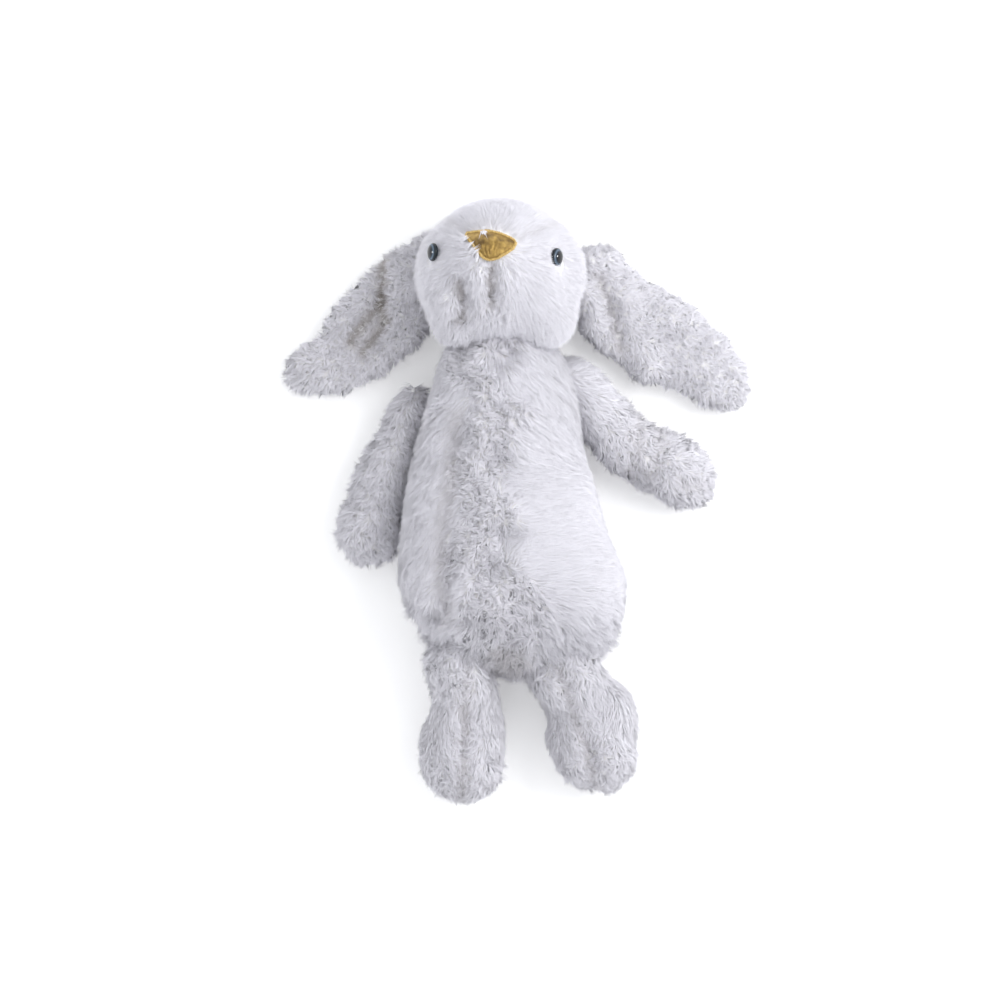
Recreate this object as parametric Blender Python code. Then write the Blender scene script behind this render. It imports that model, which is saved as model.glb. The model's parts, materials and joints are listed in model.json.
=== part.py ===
"""A stuffed bunny lying on its back: sewn plush panels, fillings, plastic eyes, nose and thread.

Metres, +Z up. The bunny's belly faces +Z and its head points to +Y, so its own left side is at +X.
The origin is on the surface it lies on, in the middle of its outline.
"""
import math

import bmesh
import bpy
from mathutils import Matrix, Vector

MM = 0.001

# Driving dimensions, in millimetres unless the name says otherwise.
SKIN = 4.0  # plush backing with its pile pressed down
SEAM_GAP = 0.6  # between two panels that are sewn together
SLACK = 1.0  # between a filling and the skin round it

TORSO_TOP, TORSO_BOTTOM = 78.5, -80.0  # along Y
NECK_POINT = (-6.3, 79.3, 35.0)
NECK_RADIUS = 12.5
HEAD_MIDDLE = (-6.0, 116.5)
HEAD_HEIGHT = 87.0
HEAD_SUNK = -4.0  # the head's round back would end here if it weren't pressed flat
FACE_TURN = -5.5  # how far the snout lies to the bunny's right of its head's middle
FACE_RISE = 9.0  # how far the snout lies towards the crown

EAR_HALF_WIDTH, EAR_LAYER = 25.0, 4.5
EYE_DIAMETER = 10.0
NOSE_WIDTH, NOSE_HEIGHT, NOSE_THICKNESS = 25.0, 16.0, 1.6

# Where each limb's joint is, how it is turned about Z, and how far it reaches from the joint.
LIMBS = {
    "left_arm": {"joint": (47.0, 41.5, 15.0), "turn_deg": 51.0, "reach": 68.0},
    "right_arm": {"joint": (-60.5, 41.5, 15.0), "turn_deg": -20.0, "reach": 76.0},
    "left_leg": {"joint": (32.5, -92.5, 16.0), "turn_deg": 13.0, "reach": 58.0},
    "right_leg": {"joint": (-26.0, -92.5, 16.0), "turn_deg": 1.0, "reach": 62.0},
}
EARS = {
    "left_ear": {"joint": (40.0, 101.0, 4.8), "turn_deg": -30.0, "slant": 12.4, "length": 92.0},
    "right_ear": {"joint": (-53.0, 107.0, 4.8), "turn_deg": 215.0, "slant": -15.1, "length": 80.0},
}
TAIL_JOINT = (0.0, -75.0, 9.5)
TAIL_RADIUS = 9.0


# Helpers: the scene, materials and finishing.


def clear_scene():
    for old in list(bpy.data.objects):
        bpy.data.objects.remove(old, do_unlink=True)


def collection(name):
    made = bpy.data.collections.new(name)
    bpy.context.scene.collection.children.link(made)
    return made


def material(name, colour, roughness, metallic=0.0):
    made = bpy.data.materials.new(name)
    made.use_nodes = True
    shader = made.node_tree.nodes["Principled BSDF"]
    shader.inputs["Base Color"].default_value = (*colour, 1.0)
    shader.inputs["Roughness"].default_value = roughness
    shader.inputs["Metallic"].default_value = metallic
    return made


clear_scene()
BUNNY = collection("stuffed_bunny")
CUTTERS = collection("cutters")
PLUSH = material("plush_white", (0.90, 0.90, 0.93), 0.95)
FILLING = material("polyester_filling", (0.93, 0.93, 0.91), 1.0)
POUCH = material("pouch_cotton", (0.80, 0.76, 0.68), 0.9)
GOLD = material("nose_gold", (0.72, 0.52, 0.20), 0.38, 0.6)
EYE = material("eye_plastic", (0.10, 0.13, 0.17), 0.12)
WASHER = material("washer_plastic", (0.86, 0.86, 0.84), 0.5)
THREAD = material("sewing_thread", (0.88, 0.87, 0.84), 0.8)


def place(made, finish, parent=None):
    """Puts a new object in the bunny's collection, with its finish and its parent empty."""
    BUNNY.objects.link(made)
    made.data.materials.append(finish)
    made.parent = parent
    if made.type == "MESH":
        made.data.shade_smooth()
        made.data.set_sharp_from_angle(angle=math.radians(40))
    return made


def pivot(name, point, turn_deg=0.0):
    """An empty on a joint, in which a limb's pieces are modelled."""
    made = bpy.data.objects.new(name + "_joint", None)
    BUNNY.objects.link(made)
    made.location = Vector(point) * MM
    made.rotation_euler.z = math.radians(turn_deg)
    return made


def cutter(made):
    CUTTERS.objects.link(made)
    made.hide_render = True
    made.display_type = "WIRE"
    return made


def cut(made, tool):
    modifier = made.modifiers.new("cut_" + tool.name, "BOOLEAN")
    modifier.operation = "DIFFERENCE"
    modifier.object = tool


def mesh_object(name, shape):
    """A bmesh in millimetres as an object in metres, with its faces pointing out."""
    bmesh.ops.recalc_face_normals(shape, faces=shape.faces)
    bmesh.ops.scale(shape, vec=(MM, MM, MM), verts=shape.verts)
    data = bpy.data.meshes.new(name)
    shape.to_mesh(data)
    shape.free()
    return bpy.data.objects.new(name, data)


# A stuffed form: oval sections along an axis, between two rounded ends.


def smooth_share(value):
    share = min(max(value, 0.0), 1.0)
    return share * share * (3 - 2 * share)


class Form:
    """Oval sections along an axis. Sizes are (half width, height above the axis, depth below it)."""

    def __init__(self, start, end, first, last, grow, rounding, axis="Y", centre=(0, 0), drift=(0, 0),
                 floor=0.0):
        self.start, self.end = start, end
        self.first, self.last = Vector(first), Vector(last)
        self.grow = grow  # from where to where along the form the sizes change, -1 to 1
        self.rounding = rounding  # how full the two ends are: 2 is an ellipse, more is blunter
        self.axis = axis
        self.centre, self.drift = Vector(centre), Vector(drift)
        self.floor = floor

    def point(self, along, turn_deg, inset):
        """The point at a share of the length and a turn round the axis, inset from the surface."""
        middle, half = (self.start + self.end) / 2, (self.end - self.start) / 2
        reach = abs(half) - inset
        place_along = -math.cos(math.pi * along)
        full = self.rounding[0 if place_along < 0 else 1]
        taper = max(1 - abs(place_along) ** full, 0.0) ** (1 / full)
        share = smooth_share((place_along - self.grow[0]) / (self.grow[1] - self.grow[0]))
        width, above, below = self.first.lerp(self.last, share)
        centre = self.centre + self.drift * share
        turn = math.radians(turn_deg)
        height = above if math.sin(turn) > 0 else below
        sideways = centre.x + math.cos(turn) * (width - inset) * taper
        upwards = centre.y + math.sin(turn) * (height - inset) * taper
        lengthways = middle + math.copysign(reach, half) * place_along
        if self.axis == "Y":
            return Vector((sideways, lengthways, max(upwards, self.floor + inset)))
        return Vector((sideways, upwards, max(lengthways, self.floor + inset)))


def lay_on(form, vertices, along, turns, inset):
    """Bends a flat grid, from -1 to 1 each way, round part of a form."""
    for vertex in vertices:
        across, down = (vertex.co.x + 1) / 2, (vertex.co.y + 1) / 2
        vertex.co = form.point(
            along[0] + (along[1] - along[0]) * down, turns[0] + (turns[1] - turns[0]) * across, inset)


def panel(name, form, finish, along=(0, 1), turns=(0, 90), rows=10, columns=5, out=(0, 0, 0), parent=None):
    """A sewn panel: the form's skin between two turns, moved out by half a seam."""
    shape = bmesh.new()
    outside = bmesh.ops.create_grid(shape, x_segments=columns, y_segments=rows, size=1.0)["verts"]
    thickened = bmesh.ops.extrude_face_region(shape, geom=shape.faces[:], use_keep_orig=True)["geom"]
    inside = [part for part in thickened if isinstance(part, bmesh.types.BMVert)]
    lay_on(form, outside, along, turns, 0.0)
    lay_on(form, inside, along, turns, SKIN)
    bmesh.ops.remove_doubles(shape, verts=shape.verts, dist=0.01)
    bmesh.ops.translate(shape, verts=shape.verts, vec=Vector(out) * SEAM_GAP / 2)
    return place(mesh_object(name, shape), finish, parent)


def cup(name, form, finish, along, rows=3, columns=16, out=(0, 0, 0), parent=None):
    """A panel that goes all the way round one end of a form."""
    shape = bmesh.new()
    for inset in (0.0, SKIN):
        grid = bmesh.ops.create_grid(shape, x_segments=columns, y_segments=rows, size=1.0)["verts"]
        lay_on(form, grid, along, (0, 360), inset)
    bmesh.ops.remove_doubles(shape, verts=shape.verts, dist=0.01)
    bmesh.ops.bridge_loops(shape, edges=[edge for edge in shape.edges if edge.is_boundary])
    bmesh.ops.translate(shape, verts=shape.verts, vec=Vector(out) * SEAM_GAP / 2)
    return place(mesh_object(name, shape), finish, parent)


def stuffing(name, form, finish, along=(0, 1), rows=10, columns=16, inset=SKIN + SLACK, parent=None):
    """The closed solid inside a form."""
    shape = bmesh.new()
    skin = bmesh.ops.create_grid(shape, x_segments=columns, y_segments=rows, size=1.0)["verts"]
    lay_on(form, skin, along, (0, 360), inset)
    bmesh.ops.remove_doubles(shape, verts=shape.verts, dist=0.01)
    bmesh.ops.holes_fill(shape, edges=[edge for edge in shape.edges if edge.is_boundary])
    return place(mesh_object(name, shape), finish, parent)


def ball(name, radius, segments=16, rings=10):
    shape = bmesh.new()
    bmesh.ops.create_uvsphere(shape, u_segments=segments, v_segments=rings, radius=radius)
    return mesh_object(name, shape)


def rod(name, radius, depth, segments=16):
    shape = bmesh.new()
    bmesh.ops.create_cone(
        shape, cap_ends=True, segments=segments, radius1=radius, radius2=radius, depth=depth)
    return mesh_object(name, shape)


def thread(name, points, radius):
    """Sewing thread along a list of points, in millimetres."""
    data = bpy.data.curves.new(name, "CURVE")
    data.dimensions = "3D"
    data.bevel_depth = radius * MM
    data.bevel_resolution = 1
    data.use_fill_caps = True
    line = data.splines.new("POLY")
    line.points.add(len(points) - 1)
    for spot, point in zip(line.points, points):
        spot.co = (*(Vector(point) * MM), 1.0)
    return place(bpy.data.objects.new(name, data), THREAD)


# Torso: two front and two back panels, the filling, the bean pouch in the seat and the closing stitch.

TORSO = Form(
    start=TORSO_TOP, end=TORSO_BOTTOM, first=(42.5, 31, 34), last=(66, 41, 44), grow=(-0.6, 0.66),
    rounding=(3.4, 2.5), centre=(-6, 31), drift=(4.5, 6))
POUCH_FROM = 0.74  # share of the torso's length where the filling ends and the pouch begins


def make_torso():
    quarters = {
        "torso_front_left": ((0, 90), (1, 0, 1)),
        "torso_front_right": ((90, 180), (-1, 0, 1)),
        "torso_back_right": ((180, 270), (-1, 0, 0)),
        "torso_back_left": ((270, 360), (1, 0, 0)),
    }
    made = [
        panel(name, TORSO, PLUSH, turns=turns, rows=12, columns=6, out=out)
        for name, (turns, out) in quarters.items()
    ]
    filling = stuffing("torso_filling", TORSO, FILLING, along=(0, POUCH_FROM), rows=9, columns=24)
    stuffing("bean_pouch", TORSO, POUCH, along=(POUCH_FROM + 0.01, 1), rows=4, columns=24)
    stitch = [TORSO.point(0.42 + 0.015 * step, 270, 1.4 + 0.9 * (step % 2)) for step in range(14)]
    thread("closing_stitch", stitch, 0.16)
    return [*made, filling]


# Head: two cheeks that meet under the nose, a gusset over the crown, the filling, eyes and nose.

HEAD = Form(
    start=HEAD_HEIGHT, end=HEAD_SUNK, first=(31, 26, 27), last=(46.5, 38, 37.5), grow=(-0.95, 0.25),
    rounding=(2.9, 2.6), axis="Z", centre=(HEAD_MIDDLE[0] + FACE_TURN, HEAD_MIDDLE[1] + FACE_RISE),
    drift=(-FACE_TURN, -FACE_RISE))
CHEEK_TOP = 62  # degrees round the head where a cheek ends and the gusset begins
EYE_ALONG = 0.32
EYE_TURNS = {"left": -3, "right": 178}


def make_head():
    rows, cheek_columns, gusset_columns = 11, 9, 5
    left = panel("head_left_cheek", HEAD, PLUSH, turns=(-90, CHEEK_TOP), rows=rows,
                 columns=cheek_columns, out=(1, 0, 0))
    right = panel("head_right_cheek", HEAD, PLUSH, turns=(180 - CHEEK_TOP, 270), rows=rows,
                  columns=cheek_columns, out=(-1, 0, 0))
    panel("head_gusset", HEAD, PLUSH, turns=(CHEEK_TOP, 180 - CHEEK_TOP), rows=rows,
          columns=gusset_columns, out=(0, 2, 0))
    filling = stuffing("head_filling", HEAD, FILLING, rows=rows, columns=24)
    return left, right, filling


def surface_frame(form, along, turn_deg):
    """A point on a form's surface, with an axis system whose Z points out of it."""
    step = 0.01
    point = form.point(along, turn_deg, 0)
    down = form.point(along + step, turn_deg, 0) - form.point(along - step, turn_deg, 0)
    round_it = form.point(along, turn_deg + 1, 0) - form.point(along, turn_deg - 1, 0)
    outwards = round_it.cross(down).normalized()
    if outwards.dot(point - form.point(along, turn_deg, SKIN)) < 0:
        outwards.negate()
    turned = outwards.to_track_quat("Z", "Y").to_matrix().to_4x4()
    return Matrix.Translation(point * MM) @ turned


def make_eye(side, cheek, filling):
    """A domed safety eye with its shank through the cheek, and the washer that locks it inside."""
    seat = surface_frame(HEAD, EYE_ALONG, EYE_TURNS[side])
    radius, shank_radius, sunk = EYE_DIAMETER / 2, 1.6, 1.2

    pocket = cutter(rod(f"{side}_eye_seat", radius + 0.5, 6))
    pocket.matrix_world = seat @ Matrix.Translation((0, 0, (3 - sunk) * MM))
    hole = cutter(rod(f"{side}_eye_hole", shank_radius + 0.5, 30))
    hole.matrix_world = seat
    room = cutter(rod(f"{side}_washer_room", radius + 1.5, 12))
    room.matrix_world = seat @ Matrix.Translation((0, 0, -(SKIN + 5.5) * MM))
    cut(cheek, pocket)
    cut(cheek, hole)
    cut(filling, room)
    cut(filling, hole)

    shape = bmesh.new()
    bmesh.ops.create_cone(shape, cap_ends=True, segments=18, radius1=radius, radius2=radius, depth=1.0)
    rim = max(shape.faces, key=lambda face: face.calc_center_median().z)
    for inset, rise in ((0.9, 1.1), (1.3, 0.7), (1.4, 0.3)):
        bmesh.ops.inset_region(shape, faces=[rim], thickness=inset, depth=rise)
    base = min(shape.faces, key=lambda face: face.calc_center_median().z)
    bmesh.ops.inset_region(shape, faces=[base], thickness=radius - shank_radius, depth=0.0)
    shank = bmesh.ops.extrude_face_region(shape, geom=[base])["geom"]
    tip = [part for part in shank if isinstance(part, bmesh.types.BMVert)]
    bmesh.ops.translate(shape, verts=tip, vec=(0, 0, -10))
    bmesh.ops.delete(shape, geom=[base], context="FACES_ONLY")
    eye = place(mesh_object(f"{side}_eye", shape), EYE)
    eye.matrix_world = seat @ Matrix.Translation((0, 0, (0.8 - sunk) * MM))

    data = bpy.data.curves.new(f"{side}_eye_washer", "CURVE")
    data.dimensions, data.fill_mode = "2D", "BOTH"
    data.extrude = 0.6 * MM
    for ring_radius in (radius + 0.3, shank_radius + 0.3):
        ring = data.splines.new("POLY")
        ring.points.add(17)
        for index, spot in enumerate(ring.points):
            angle = 2 * math.pi * index / 18
            spot.co = (ring_radius * math.cos(angle) * MM, ring_radius * math.sin(angle) * MM, 0, 1)
        ring.use_cyclic_u = True
    washer = place(bpy.data.objects.new(data.name, data), WASHER)
    washer.matrix_world = seat @ Matrix.Translation((0, 0, -(SKIN + 2.0) * MM))


def nose_outline(data, scale):
    """The nose's rounded triangle, as one closed curve."""
    data.resolution_u = 5
    data.bevel_resolution = 1
    wide, high = NOSE_WIDTH / 2 * scale, NOSE_HEIGHT / 2 * scale
    outline = data.splines.new("BEZIER")
    corners = [(0, -high), (wide, high * 0.55), (0, high * 0.7), (-wide, high * 0.55)]
    outline.bezier_points.add(len(corners) - 1)
    for spot, (x, y) in zip(outline.bezier_points, corners):
        spot.co = (x * MM, y * MM, 0)
        spot.handle_left_type = spot.handle_right_type = "AUTO"
    outline.use_cyclic_u = True


def make_nose():
    """A padded gold patch on the snout, and the line of thread round it."""
    middle = HEAD.point(0, 0, 0) + Vector((0, 2, 0))
    lift, thread_radius = 0.4, 0.4
    data = bpy.data.curves.new("nose_patch", "CURVE")
    data.dimensions, data.fill_mode = "2D", "BOTH"
    data.extrude = data.bevel_depth = NOSE_THICKNESS / 4 * MM
    nose_outline(data, 0.94)
    patch = place(bpy.data.objects.new("nose_patch", data), GOLD)
    patch.location = (middle + Vector((0, 0, lift + NOSE_THICKNESS / 2))) * MM
    data = bpy.data.curves.new("nose_stitching", "CURVE")
    data.dimensions = "3D"
    data.bevel_depth = thread_radius * MM
    nose_outline(data, 1.16)
    stitching = place(bpy.data.objects.new("nose_stitching", data), THREAD)
    stitching.location = (middle + Vector((0, 0, lift + thread_radius))) * MM


# Ears: a front and a back layer, sewn to the head along a seam.


def ear_outline(length, slant):
    """The ear's outline from its root, along local X, as curve points (x, y)."""
    half = EAR_HALF_WIDTH
    return [(2 - slant, half * 0.86), (length * 0.32, half * 1.04), (length * 0.68, half * 0.84),
            (length * 0.93, half * 0.40), (length * 0.985, -half * 0.20), (length * 0.85, -half * 0.72),
            (length * 0.50, -half * 0.98), (2 + slant, -half * 0.86)]


def make_ear(name, facts):
    joint = pivot(name, facts["joint"], facts["turn_deg"])
    for layer, level in (("front", 1), ("back", -1)):
        data = bpy.data.curves.new(f"{name}_{layer}", "CURVE")
        data.dimensions, data.fill_mode = "2D", "BOTH"
        data.extrude, data.bevel_depth = 0.9 * MM, (EAR_LAYER / 2 - 0.9) * MM
        data.offset = -data.bevel_depth
        data.bevel_resolution, data.resolution_u = 1, 4
        outline = data.splines.new("BEZIER")
        points = ear_outline(facts["length"], facts["slant"])
        outline.bezier_points.add(len(points) - 1)
        for spot, (x, y) in zip(outline.bezier_points, points):
            spot.co = (x * MM, y * MM, 0)
            spot.handle_left_type = spot.handle_right_type = "AUTO"
        outline.use_cyclic_u = True
        made = place(bpy.data.objects.new(data.name, data), PLUSH, joint)
        made.location.z = level * (EAR_LAYER / 2 + 0.25) * MM


# Arms and legs: panels and a filling round a joint at their root.


def arm_form(joint_height, reach):
    return Form(start=12.5, end=-reach, first=(15, 13, 15), last=(19.5, 16, 17), grow=(-0.5, 0.7),
                rounding=(2.7, 2.7), floor=-joint_height)


def leg_form(joint_height, reach):
    return Form(start=14.5, end=-reach, first=(16, 15, 16), last=(24, 31, 22), grow=(-0.4, 0.6),
                rounding=(2.7, 3.2), floor=-joint_height)


def make_arm(name):
    facts = LIMBS[name]
    joint = pivot(name, facts["joint"], facts["turn_deg"])
    form = arm_form(facts["joint"][2], facts["reach"])
    panel(name + "_front", form, PLUSH, turns=(0, 180), rows=10, columns=8, out=(0, 0, 1), parent=joint)
    panel(name + "_back", form, PLUSH, turns=(180, 360), rows=10, columns=8, parent=joint)
    stuffing(name + "_filling", form, FILLING, rows=10, columns=16, parent=joint)


def make_leg(name):
    facts = LIMBS[name]
    joint = pivot(name, facts["joint"], facts["turn_deg"])
    form = leg_form(facts["joint"][2], facts["reach"])
    outer, inner = ("outer", "inner") if name.startswith("left") else ("inner", "outer")
    sole_from = 0.80
    panel(f"{name}_{outer}", form, PLUSH, along=(0, sole_from), turns=(-90, 90), rows=9, columns=8,
          out=(1, 0, 0), parent=joint)
    panel(f"{name}_{inner}", form, PLUSH, along=(0, sole_from), turns=(90, 270), rows=9, columns=8,
          out=(-1, 0, 0), parent=joint)
    cup(f"{name}_sole", form, PLUSH, along=(sole_from, 1), out=(0, -2, 0), parent=joint)
    stuffing(f"{name}_filling", form, FILLING, rows=10, columns=16, parent=joint)


# Tail: a small round cover with its filling.


def make_tail():
    joint = pivot("tail", TAIL_JOINT)
    nearest, end_radius = -0.8, TAIL_RADIUS + 1
    form = Form(start=nearest, end=nearest - 2 * TAIL_RADIUS, first=(TAIL_RADIUS,) * 3,
                last=(end_radius,) * 3,
                grow=(-1, 1), rounding=(2, 2), floor=-TAIL_JOINT[2])
    panel("tail_top", form, PLUSH, turns=(0, 180), rows=8, columns=8, out=(0, 0, 1), parent=joint)
    panel("tail_underside", form, PLUSH, turns=(180, 360), rows=8, columns=8, parent=joint)
    stuffing("tail_filling", form, FILLING, rows=8, columns=12, parent=joint)


def make_neck(neighbours):
    """The filling that runs through the neck opening, and the room that the skins leave for it."""
    neck = place(ball("neck_filling", NECK_RADIUS), FILLING)
    neck.location = Vector(NECK_POINT) * MM
    opening = cutter(ball("neck_opening", NECK_RADIUS + 1.2, 24, 14))
    opening.location = Vector(NECK_POINT) * MM
    for neighbour in neighbours:
        cut(neighbour, opening)


def make_bunny():
    torso = make_torso()
    left_cheek, right_cheek, head_filling = make_head()
    make_neck([*torso, left_cheek, right_cheek, head_filling])
    make_eye("left", left_cheek, head_filling)
    make_eye("right", right_cheek, head_filling)
    make_nose()
    for name, facts in EARS.items():
        make_ear(name, facts)
    for name in ("left_arm", "right_arm"):
        make_arm(name)
    for name in ("left_leg", "right_leg"):
        make_leg(name)
    make_tail()


make_bunny()
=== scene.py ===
# %% [markdown]
# # A long-pile plush bunny
#
# The real toy is sewn from white plush: a knitted backing with hairs about a centimetre long. It is
# filled with loose polyester, has two plastic eyes and a nose of gold cloth, and lies on its back.
# This lesson builds it in three steps. First come the stuffed forms, which are the backing cloth.
# Then hair grows out of them. Last come the eyes, the nose and the thread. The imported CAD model
# says where everything goes.

# %% Load the frame
import json
import math

import bmesh
import bpy
import numpy as np
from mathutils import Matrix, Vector
from mathutils.bvhtree import BVHTree
from mathutils.kdtree import KDTree


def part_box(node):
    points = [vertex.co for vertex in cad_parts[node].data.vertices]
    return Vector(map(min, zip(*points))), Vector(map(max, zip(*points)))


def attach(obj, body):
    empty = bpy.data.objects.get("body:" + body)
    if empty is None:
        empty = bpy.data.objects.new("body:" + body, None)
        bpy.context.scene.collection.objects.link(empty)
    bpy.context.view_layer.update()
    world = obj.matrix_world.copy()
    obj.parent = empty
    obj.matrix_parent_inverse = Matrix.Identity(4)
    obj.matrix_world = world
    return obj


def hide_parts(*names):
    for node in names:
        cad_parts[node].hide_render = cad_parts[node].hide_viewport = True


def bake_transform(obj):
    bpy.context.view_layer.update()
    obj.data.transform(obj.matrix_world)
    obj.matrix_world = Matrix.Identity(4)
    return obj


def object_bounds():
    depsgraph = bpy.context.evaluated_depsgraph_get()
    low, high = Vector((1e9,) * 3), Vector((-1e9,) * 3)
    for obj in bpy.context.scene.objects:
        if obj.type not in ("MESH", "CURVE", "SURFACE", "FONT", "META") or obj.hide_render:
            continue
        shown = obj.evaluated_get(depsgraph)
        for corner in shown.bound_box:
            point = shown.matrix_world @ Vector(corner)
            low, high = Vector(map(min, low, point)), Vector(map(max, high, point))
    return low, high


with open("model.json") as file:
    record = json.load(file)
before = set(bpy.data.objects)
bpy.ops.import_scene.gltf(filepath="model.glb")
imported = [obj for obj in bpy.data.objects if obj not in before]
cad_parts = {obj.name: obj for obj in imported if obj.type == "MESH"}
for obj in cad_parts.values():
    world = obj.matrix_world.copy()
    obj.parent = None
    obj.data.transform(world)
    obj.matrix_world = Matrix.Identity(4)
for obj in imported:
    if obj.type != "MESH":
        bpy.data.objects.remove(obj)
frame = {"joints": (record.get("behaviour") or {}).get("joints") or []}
MM = 0.001
JOINTS = {joint["name"]: joint for joint in frame["joints"]}
CAD_BOX = [list(corner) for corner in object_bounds()]
FLOOR = CAD_BOX[0][2]
print("CAD box in mm:", [[round(value / MM, 1) for value in corner] for corner in CAD_BOX])


# %% [markdown]
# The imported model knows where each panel, the nose and every hinge are. Reading those places here,
# in millimetres, keeps numbers easy to think about and saves measuring anything twice. They could
# be typed in by hand instead, but then they would go wrong as soon as the CAD changed.


# %% Places to build from
def node_box(*names):
    """Lowest and highest corner round some CAD nodes, in millimetres."""
    corners = [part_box(name) for name in names]
    low = np.min([low for low, high in corners], axis=0) / MM
    high = np.max([high for low, high in corners], axis=0) / MM
    return low, high


def joint_place(name):
    """Where a hinge is, in millimetres."""
    return np.array(JOINTS[name]["pos_m"]) / MM


TORSO_NODES = ("torso_front_left", "torso_front_right", "torso_back_left", "torso_back_right")
TORSO_LOW, TORSO_HIGH = node_box(*TORSO_NODES)
HEAD_LOW, HEAD_HIGH = node_box("head_left_cheek", "head_right_cheek", "head_gusset")
NECK = joint_place("head_nod")
NOSE_LOW, NOSE_HIGH = node_box("nose_patch")
NOSE = (NOSE_LOW + NOSE_HIGH) / 2
print("torso", TORSO_LOW.round(), TORSO_HIGH.round(), "head", HEAD_LOW.round(), HEAD_HIGH.round())
print("neck", NECK, "nose", NOSE.round(1))

# %% [markdown]
# ## Camera, floor and light
#
# The toy is seen from straight above, so the camera looks down with its top towards the head. A
# long lens keeps the perspective weak. The floor is a white lightbox, which glows a little, so
# shadows on it stay short and pale. A bright even sky fills everything, and one large soft lamp on
# the toy's left shapes the forms.

# %% Camera
CENTRE = [(low + high) / 2 for low, high in zip(*CAD_BOX)]
CAMERA_HEIGHT = 4.0
VIEW_WIDTH = 0.506
VIEW_LEVEL = 0.025  # the height at which the view is that wide
VIEW_OFFSET = 0.0061
SENSOR = 36.0
camera_data = bpy.data.cameras.new("camera")
camera_data.sensor_width = SENSOR
camera_data.lens = SENSOR * (CAMERA_HEIGHT - VIEW_LEVEL) / VIEW_WIDTH
camera = bpy.data.objects.new("camera", camera_data)
bpy.context.scene.collection.objects.link(camera)
camera.location = (CENTRE[0] - VIEW_OFFSET, CENTRE[1], CAMERA_HEIGHT)
bpy.context.scene.camera = camera
print("lens", round(camera_data.lens, 1))

# %% [markdown]
# The floor is a plain sheet that sits a hair's breadth under the toy. It has no gloss, and glows
# faintly, as the floor of a lightbox does.

# %% Floor
FLOOR_GLOW = 0.17
bpy.ops.object.select_all(action="DESELECT")
bpy.ops.mesh.primitive_plane_add(size=6.0, location=(0, 0, FLOOR - 0.0006))
floor = bpy.context.object
floor.name = "studio_floor"
floor_paint = bpy.data.materials.new("floor_white")
floor_paint.use_nodes = True
floor_shader = floor_paint.node_tree.nodes["Principled BSDF"]
floor_shader.inputs["Base Color"].default_value = (0.96, 0.96, 0.96, 1)
floor_shader.inputs["Roughness"].default_value = 1.0
floor_shader.inputs["Specular IOR Level"].default_value = 0.0
floor_shader.inputs["Emission Color"].default_value = (1.0, 1.0, 1.0, 1)
floor_shader.inputs["Emission Strength"].default_value = FLOOR_GLOW
floor.data.materials.append(floor_paint)
print(floor.name, "at", round(FLOOR / MM, 1), "mm")

# %% [markdown]
# A sun would give hard edges, so the lamps are round area lamps. The two small ones put the glint
# in the eyes. They are linked to a collection that holds only the eyes, so they don't change the
# light on the plush.


# %% Sky and lamps
def lamp(name, place, target, size, power):
    """A round soft lamp that faces a point."""
    data = bpy.data.lights.new(name, "AREA")
    data.shape = "DISK"
    data.size = size
    data.energy = power
    made = bpy.data.objects.new(name, data)
    bpy.context.scene.collection.objects.link(made)
    made.location = place
    made.rotation_euler = (Vector(target) - Vector(place)).to_track_quat("-Z", "Y").to_euler()
    return made


SKY_STRENGTH = 1.05
sky = bpy.data.worlds.new("studio_sky")
sky.use_nodes = True
sky.node_tree.nodes["Background"].inputs["Color"].default_value = (0.97, 0.98, 1.0, 1)
sky.node_tree.nodes["Background"].inputs["Strength"].default_value = SKY_STRENGTH
bpy.context.scene.world = sky
lamp("key_lamp", (0.85, 0.32, 1.00), (0, 0, 0.03), size=0.9, power=8.6)
EYES_ONLY = bpy.data.collections.new("eyes_only")
for name, side in (("glint_lamp_left", 1), ("glint_lamp_right", -1)):
    glint = lamp(name, (side * 1.5, 0.20, 0.28), (0, 0.12, 0.06), size=0.2, power=7.0)
    glint.light_linking.receiver_collection = EYES_ONLY
bpy.context.scene.view_settings.view_transform = "Standard"
print(len(bpy.data.lights), "lamps and the sky")


# %% [markdown]
# ## Finishes
#
# Each finish is a Principled shader with a few nodes before it. A colour that is the same all over
# is set on the shader itself. A ramp turns a number that varies, such as noise or an attribute,
# into a colour, so two helpers for those save writing the same nodes again and again.


# %% Helpers for node materials
def finish(name, roughness, metallic=0.0, **sockets):
    """A material with its shader's uniform values set, and its node tree ready for more."""
    made = bpy.data.materials.new(name)
    made.use_nodes = True
    shader = made.node_tree.nodes["Principled BSDF"]
    shader.inputs["Roughness"].default_value = roughness
    shader.inputs["Metallic"].default_value = metallic
    for socket, value in sockets.items():
        shader.inputs[socket.replace("_", " ")].default_value = value
    return made, made.node_tree.nodes, made.node_tree.links, shader


def ramp(nodes, stops):
    """A node that turns a number into one of several colours."""
    made = nodes.new("ShaderNodeValToRGB")
    while len(made.color_ramp.elements) < len(stops):
        made.color_ramp.elements.new(0.5)
    for element, (place, colour) in zip(made.color_ramp.elements, stops):
        element.position = place
        element.color = (*colour, 1)
    return made


def mottle(nodes, links, shader, scale, stops, detail=2.0):
    """Colours a finish by fine noise. Returns the nodes that give the place and the noise."""
    place = nodes.new("ShaderNodeTexCoord")
    noise = nodes.new("ShaderNodeTexNoise")
    noise.inputs["Scale"].default_value = scale
    noise.inputs["Detail"].default_value = detail
    links.new(place.outputs["Object"], noise.inputs["Vector"])
    colours = ramp(nodes, stops)
    links.new(noise.outputs["Fac"], colours.inputs["Fac"])
    links.new(colours.outputs["Color"], shader.inputs["Base Color"])
    return place, noise


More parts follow.
